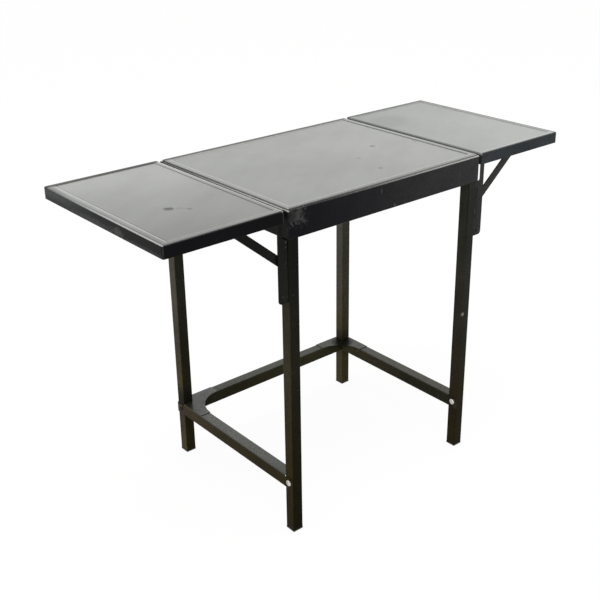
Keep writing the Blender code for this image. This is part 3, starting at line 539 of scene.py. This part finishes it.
# Worn patch at the left, two small scuffs, painted highlights on the upper edges and painted shade in the
# left corner
APRON_MARKS = (
    front_mark(
        -0.2310, APRON_LOW.y, 0.6645, 0.0215, 0.0175, RESIDUE_GREY, 0.65, ragged=4.6, dull=0.2, square=1.0),
    front_mark(-0.2390, APRON_LOW.y, 0.6660, 0.0120, 0.0120, SOOT_AND_SHADE, 0.60, ragged=3.0),
    front_mark(-0.2200, APRON_LOW.y, 0.6570, 0.0130, 0.0120, RESIDUE_GREY, 0.25, ragged=3.4),
    front_mark(-0.0237, APRON_LOW.y, 0.6632, 0.0016, 0.0075, RESIDUE_GREY),
    front_mark(0.0114, APRON_LOW.y, 0.6285, 0.0040, 0.0035, RESIDUE_GREY),
    line_along(APRON_LOW.y, APRON_HIGH.z, 0.0045, HIGHLIGHT_GREY, 0.9, x=0.55, length=0.75, depth=0.0024),
    mark((APRON_LOW.x, APRON_LOW.y, 0.650), (0.0030, 0.0200, 0.0600), SOOT_AND_SHADE, 0.95, ragged=0.2, square=1.0),
    line_across(APRON_LOW.x, APRON_HIGH.z, 0.0040, SOFT_HIGHLIGHT_GREY, 0.4, depth=0.0026),
    line_across(APRON_LOW.x, APRON_HIGH.z, 0.0040, HIGHLIGHT_GREY, 0.9, y=-0.30, length=0.48, depth=0.0026),
)
FRONT_LEFT_LEG_MARKS = (
    # Painted shade at the top of the leg, under the apron and leaf
    mark((-0.235, LEFT_LOW.y, 0.600), (0.100, 0.100, 0.160), SOOT_AND_SHADE, 0.8, ragged=0.2),
)
FRONT_RIGHT_LEG_MARKS = (
    mark((0.2275, LEG_FRONT, 0.3302), (0.0056, 0.0056, 0.0056), HIGHLIGHT_GREY, 0.40),
    # Painted shade in a thin strip along the leg's inner front edge, under the apron
    mark((0.2237, LEG_FRONT, 0.640), (0.0026, 0.0026, 0.200), SOOT_AND_SHADE, 0.7, ragged=0.2, square=1.0),
)
BACK_LEG_MARKS = (
    # Painted shade on the back legs where they meet the rails and gussets
    mark((-0.235, 0.189, 0.128), (0.060, 0.060, 0.050), SOOT_AND_SHADE, 0.7, ragged=0.2),
    mark((0.235, 0.189, 0.128), (0.060, 0.060, 0.034), SOOT_AND_SHADE, 0.45, ragged=0.2),
)
GUSSET_MARKS = (
    # Pale dust near the left leg that also dulls the polish there as painted shade, and painted shade in
    # front of the right leg
    mark((-0.228, 0.182, 0.125), (0.090, 0.090, 0.060), PALE_DUST_AND_HIGHLIGHT, 0.1, ragged=0.4, cover=0.25),
    mark((0.216, 0.170, 0.125), (0.036, 0.036, 0.030), SOOT_AND_SHADE, 0.8, ragged=0.2, cover=0.75),
)
CONSOLE_MARKS = (
    # Painted glints of two small rivet heads near the top of the left console
    front_mark(-0.2520, CONSOLE_FRONT, 0.6205, 0.0020, 0.0018, SOFT_HIGHLIGHT_GREY, 0.3),
    front_mark(-0.2522, CONSOLE_FRONT, 0.6110, 0.0020, 0.0018, SOFT_HIGHLIGHT_GREY, 0.15),
    # Painted shade in the groove between the right console and its leg
    front_mark(0.2524, CONSOLE_FRONT, 0.5600, 0.0022, 0.1000, SOOT_AND_SHADE, 0.8, ragged=0.3, square=1.0),
)


def leg_brown_and_reflection(front, side):
    """Leg paint: one colour on the front and a lighter one on the face that looks left, a painted reflection
    of the floor.
    """
    return Paint(left=front, right=front, near=side, far=side)


# Colours of the paint, with painted reflection and shade: lighter or darker at either end of the table and on
# faces that look left
LEFT_LEAF_BLACK = Paint(
    left=(0.0020, 0.0020, 0.0030), right=(0.0020, 0.0020, 0.0028),
    near=(0.0004, 0.0004, 0.0005), far=(0.013, 0.0145, 0.017))
CENTRE_BLACK = Paint(
    left=(0.0050, 0.0052, 0.0060), right=(0.0080, 0.0082, 0.0086),
    near=(0.010, 0.010, 0.011), far=(0.010, 0.010, 0.011))
RIGHT_LEAF_BLACK = Paint(
    left=(0.0020, 0.0020, 0.0025), right=(0.0245, 0.0295, 0.0330),
    near=(0.020, 0.020, 0.021), far=(0.020, 0.020, 0.021))
APRON_BLACK = Paint(
    left=(0.0014, 0.0012, 0.0034), right=(0.0280, 0.0280, 0.0285),
    near=(0.0040, 0.0034, 0.0028), far=(0.010, 0.010, 0.010))
CONSOLE_BLACK = Paint(
    left=(0.0060, 0.0058, 0.0050), right=(0.0280, 0.0280, 0.0265),
    near=(0.010, 0.010, 0.009), far=(0.010, 0.010, 0.009))
LEFT_RAIL_BROWN = Paint(
    left=(0.0140, 0.0120, 0.0060), right=(0.0140, 0.0120, 0.0060),
    near=(0.0200, 0.0150, 0.0045), far=(0.0460, 0.0330, 0.0170))
RAIL_BROWN = Paint(
    left=(0.0125, 0.0115, 0.0062), right=(0.0280, 0.0250, 0.0110),
    near=(0.0150, 0.0135, 0.0085), far=(0.0540, 0.0450, 0.0240))
FRONT_LEFT_BROWN = leg_brown_and_reflection(front=(0.0120, 0.0112, 0.0075), side=(0.0340, 0.0290, 0.0175))
FRONT_RIGHT_BROWN = leg_brown_and_reflection(front=(0.0205, 0.0205, 0.0180), side=(0.0280, 0.0265, 0.0210))
BACK_LEFT_BROWN = leg_brown_and_reflection(front=(0.0160, 0.0155, 0.0118), side=(0.0590, 0.0545, 0.0450))
BACK_RIGHT_BROWN = leg_brown_and_reflection(front=(0.0430, 0.0410, 0.0340), side=(0.0840, 0.0810, 0.0700))
# Painted warm reflection of the floor on each leg: a brown tint towards the floor
FRONT_LEFT_LOW = (0.58, 0.46, 0.13)
FRONT_RIGHT_LOW = (0.57, 0.44, 0.20)
BACK_LEFT_LOW = (0.82, 0.68, 0.34)
BACK_RIGHT_LOW = (0.78, 0.64, 0.34)

LEAF_POLISH = Polish(level=0.90, along=0.0, across=0.62)
CENTRE_POLISH = Polish(level=0.845, along=0.0, across=-0.26)
RIGHT_POLISH = Polish(level=0.695, along=0.30, across=-0.72)
RAIL_POLISH = Polish(level=0.44, along=0.0, across=0.0)
GUSSET_POLISH = Polish(level=0.46, along=0.0, across=0.0)
EDGE_POLISH = Polish(level=0.80, along=0.0, across=0.0)


def rail_paint(name, paint, polish, wear=0.6, marks=()):
    """Speckled paint of the lower frame."""
    return painted_steel(
        name, paint, gloss=0.30, polish=polish, wear=wear, chips=0.40, scratches=0.6, marks=marks,
        ior=LEG_IOR, speckle=0.3)


def leg_paint(corner, paint, low, marks):
    """Dull paint of a leg."""
    return painted_steel(
        corner + "_leg_paint", paint, gloss=0.36, polish=RAIL_POLISH, marks=marks, low=low, ior=LEG_IOR)


# Finishes
LEFT_LEAF_PAINT = painted_steel(
    "left_leaf_paint", LEFT_LEAF_BLACK, gloss=0.22, polish=LEAF_POLISH, wear=0.8, chips=0.15,
    scratches=0.35, marks=LEFT_LEAF_MARKS)
RIGHT_LEAF_PAINT = painted_steel(
    "right_leaf_paint", RIGHT_LEAF_BLACK, gloss=0.24, polish=RIGHT_POLISH, wear=0.6, chips=0.15,
    scratches=0.45, marks=RIGHT_LEAF_MARKS)
CENTRE_PAINT = painted_steel(
    "centre_top_paint", CENTRE_BLACK, gloss=0.22, polish=CENTRE_POLISH, wear=0.5, chips=0.10,
    scratches=0.35, marks=CENTRE_MARKS)
APRON_PAINT = painted_steel(
    "apron_paint", APRON_BLACK, gloss=0.34, polish=EDGE_POLISH, wear=0.5, chips=0.25,
    scratches=0.6, marks=APRON_MARKS)
CONSOLE_PAINT = painted_steel(
    "console_paint", CONSOLE_BLACK, gloss=0.36, polish=RAIL_POLISH, wear=0.8, chips=0.35,
    scratches=0.6, marks=CONSOLE_MARKS)
FRONT_LEFT_PAINT = leg_paint("front_left", FRONT_LEFT_BROWN, FRONT_LEFT_LOW, FRONT_LEFT_LEG_MARKS)
FRONT_RIGHT_PAINT = leg_paint("front_right", FRONT_RIGHT_BROWN, FRONT_RIGHT_LOW, FRONT_RIGHT_LEG_MARKS)
BACK_LEFT_PAINT = leg_paint("back_left", BACK_LEFT_BROWN, BACK_LEFT_LOW, BACK_LEG_MARKS)
BACK_RIGHT_PAINT = leg_paint("back_right", BACK_RIGHT_BROWN, BACK_RIGHT_LOW, BACK_LEG_MARKS)
RAIL_PAINT = rail_paint("rail_paint", RAIL_BROWN, RAIL_POLISH)
LEFT_RAIL_PAINT = rail_paint("left_rail_paint", LEFT_RAIL_BROWN, EDGE_POLISH)
LEFT_GUSSET_PAINT = rail_paint("left_gusset_paint", LEFT_RAIL_BROWN, EDGE_POLISH, 0.3, GUSSET_MARKS)
RIGHT_GUSSET_PAINT = rail_paint("right_gusset_paint", RAIL_BROWN, GUSSET_POLISH, 0.3, GUSSET_MARKS)
ZINC_PLATE = bright_zinc("zinc_plate")
HINGE_STEEL = dark_steel("hinge_steel")
FOOT_RUBBER = foot_rubber("foot_rubber")

# Finish by the ending of a node's name; the first that fits is taken
FINISHES = (
    ("left_leaf", LEFT_LEAF_PAINT),
    ("right_leaf", RIGHT_LEAF_PAINT),
    ("centre_top", CENTRE_PAINT),
    ("_apron", APRON_PAINT),
    ("front_left_leg", FRONT_LEFT_PAINT),
    ("front_right_leg", FRONT_RIGHT_PAINT),
    ("back_left_leg", BACK_LEFT_PAINT),
    ("back_right_leg", BACK_RIGHT_PAINT),
    ("left_rail", LEFT_RAIL_PAINT),
    ("_rail", RAIL_PAINT),
    ("left_gusset", LEFT_GUSSET_PAINT),
    ("right_gusset", RIGHT_GUSSET_PAINT),
    ("_foot", FOOT_RUBBER),
    ("_console", CONSOLE_PAINT),
    ("_stay", CONSOLE_PAINT),
    ("_stay_pivot", CONSOLE_PAINT),
    ("_spring_rivet", CONSOLE_PAINT),
    ("back_left_rail_bolt", LEFT_RAIL_PAINT),
    ("back_right_rail_bolt", RAIL_PAINT),
    ("_rail_bolt", ZINC_PLATE),
    ("_rail_nut", ZINC_PLATE),
    ("_friction_spring", HINGE_STEEL),
    ("_hinge_lug", HINGE_STEEL),
    ("_hinge_pin", HINGE_STEEL),
)


def finish_for(name):
    """Finish of a CAD node."""
    for ending, material in FINISHES:
        if name.endswith(ending):
            return material
    raise KeyError(name)


for node_name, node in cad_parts.items():
    node.data.materials.clear()
    node.data.materials.append(finish_for(node_name))


def make_floor():
    """Pale floor that is white to the camera and keeps the table's shadow."""
    bm = bmesh.new()
    bmesh.ops.create_circle(bm, cap_ends=True, segments=FLOOR_SIDES, radius=FLOOR_RADIUS)
    mesh = bpy.data.meshes.new("studio_floor")
    bm.to_mesh(mesh)
    bm.free()
    floor = bpy.data.objects.new("studio_floor", mesh)
    bpy.context.scene.collection.objects.link(floor)
    material = bpy.data.materials.new("studio_floor")
    material.use_nodes = True
    tree = material.node_tree
    tree.nodes.clear()
    diffuse = add_node(tree, "ShaderNodeBsdfDiffuse", {"Color": FLOOR_TONE})
    white = add_node(tree, "ShaderNodeEmission", {"Color": WHITE, "Strength": WHITE_LEVEL})
    rays = add_node(tree, "ShaderNodeLightPath").outputs
    glossy = math_node(tree, "ADD", rays["Is Glossy Ray"], rays["Is Transmission Ray"])
    seen = math_node(tree, "ADD", rays["Is Camera Ray"], glossy, clamp=True)
    share = math_node(tree, "MULTIPLY", seen, WHITE_SHARE)
    mixed = add_node(tree, "ShaderNodeMixShader", {0: share, 1: diffuse.outputs[0], 2: white.outputs[0]})
    output = add_node(tree, "ShaderNodeOutputMaterial")
    tree.links.new(mixed.outputs[0], output.inputs["Surface"])
    mesh.materials.append(material)


def make_world():
    """Pale studio walls, brightest just above the horizon."""
    world = bpy.data.worlds.new("studio")
    bpy.context.scene.world = world
    world.use_nodes = True
    tree = world.node_tree
    tree.nodes.clear()
    direction = add_node(tree, "ShaderNodeTexCoord").outputs["Generated"]
    band = add_node(tree, "ShaderNodeValToRGB", {0: axes_of(tree, direction)["Z"]})
    stops = band.color_ramp.elements
    stops[0].position = WALL_LIGHT[0][0]
    stops[1].position = WALL_LIGHT[-1][0]
    for height, _ in WALL_LIGHT[1:-1]:
        stops.new(height)
    for stop, (_, level) in zip(stops, WALL_LIGHT):
        stop.color = opaque([level * tint for tint in WALL_TINT])
    backdrop = add_node(tree, "ShaderNodeBackground", {"Color": band.outputs[0], "Strength": 1.0})
    output = add_node(tree, "ShaderNodeOutputWorld")
    tree.links.new(backdrop.outputs[0], output.inputs["Surface"])


def make_softbox():
    """Square softbox above the table."""
    light = bpy.data.lights.new("top_softbox", "AREA")
    light.size = SOFTBOX_SIZE
    light.energy = SOFTBOX_WATTS
    lamp = bpy.data.objects.new("top_softbox", light)
    lamp.location = SOFTBOX_PLACE
    lamp.rotation_mode = "QUATERNION"
    lamp.rotation_quaternion = (Vector(SOFTBOX_TARGET) - Vector(SOFTBOX_PLACE)).to_track_quat("-Z", "Y")
    lamp.visible_camera = False
    bpy.context.scene.collection.objects.link(lamp)


def make_camera():
    """Camera that looks as the photograph does."""
    forward = Vector((
        math.sin(CAMERA_YAW) * math.cos(CAMERA_PITCH),
        math.cos(CAMERA_YAW) * math.cos(CAMERA_PITCH),
        -math.sin(CAMERA_PITCH)))
    level = Vector((math.cos(CAMERA_YAW), -math.sin(CAMERA_YAW), 0.0))
    upright = level.cross(forward)
    right = math.cos(CAMERA_ROLL) * level + math.sin(CAMERA_ROLL) * upright
    above = math.cos(CAMERA_ROLL) * upright - math.sin(CAMERA_ROLL) * level
    data = bpy.data.cameras.new("photo_camera")
    data.lens = CAMERA_LENS
    data.sensor_width = CAMERA_SENSOR
    data.shift_x = CAMERA_SHIFT_ALONG
    data.shift_y = CAMERA_SHIFT_UP
    camera = bpy.data.objects.new("photo_camera", data)
    turn = Matrix((right, above, -forward)).transposed().to_4x4()
    camera.matrix_world = Matrix.Translation(CAMERA_PLACE) @ turn
    bpy.context.scene.collection.objects.link(camera)
    bpy.context.scene.camera = camera


make_floor()
make_world()
make_softbox()
make_camera()
bpy.context.scene.view_settings.view_transform = "Standard"
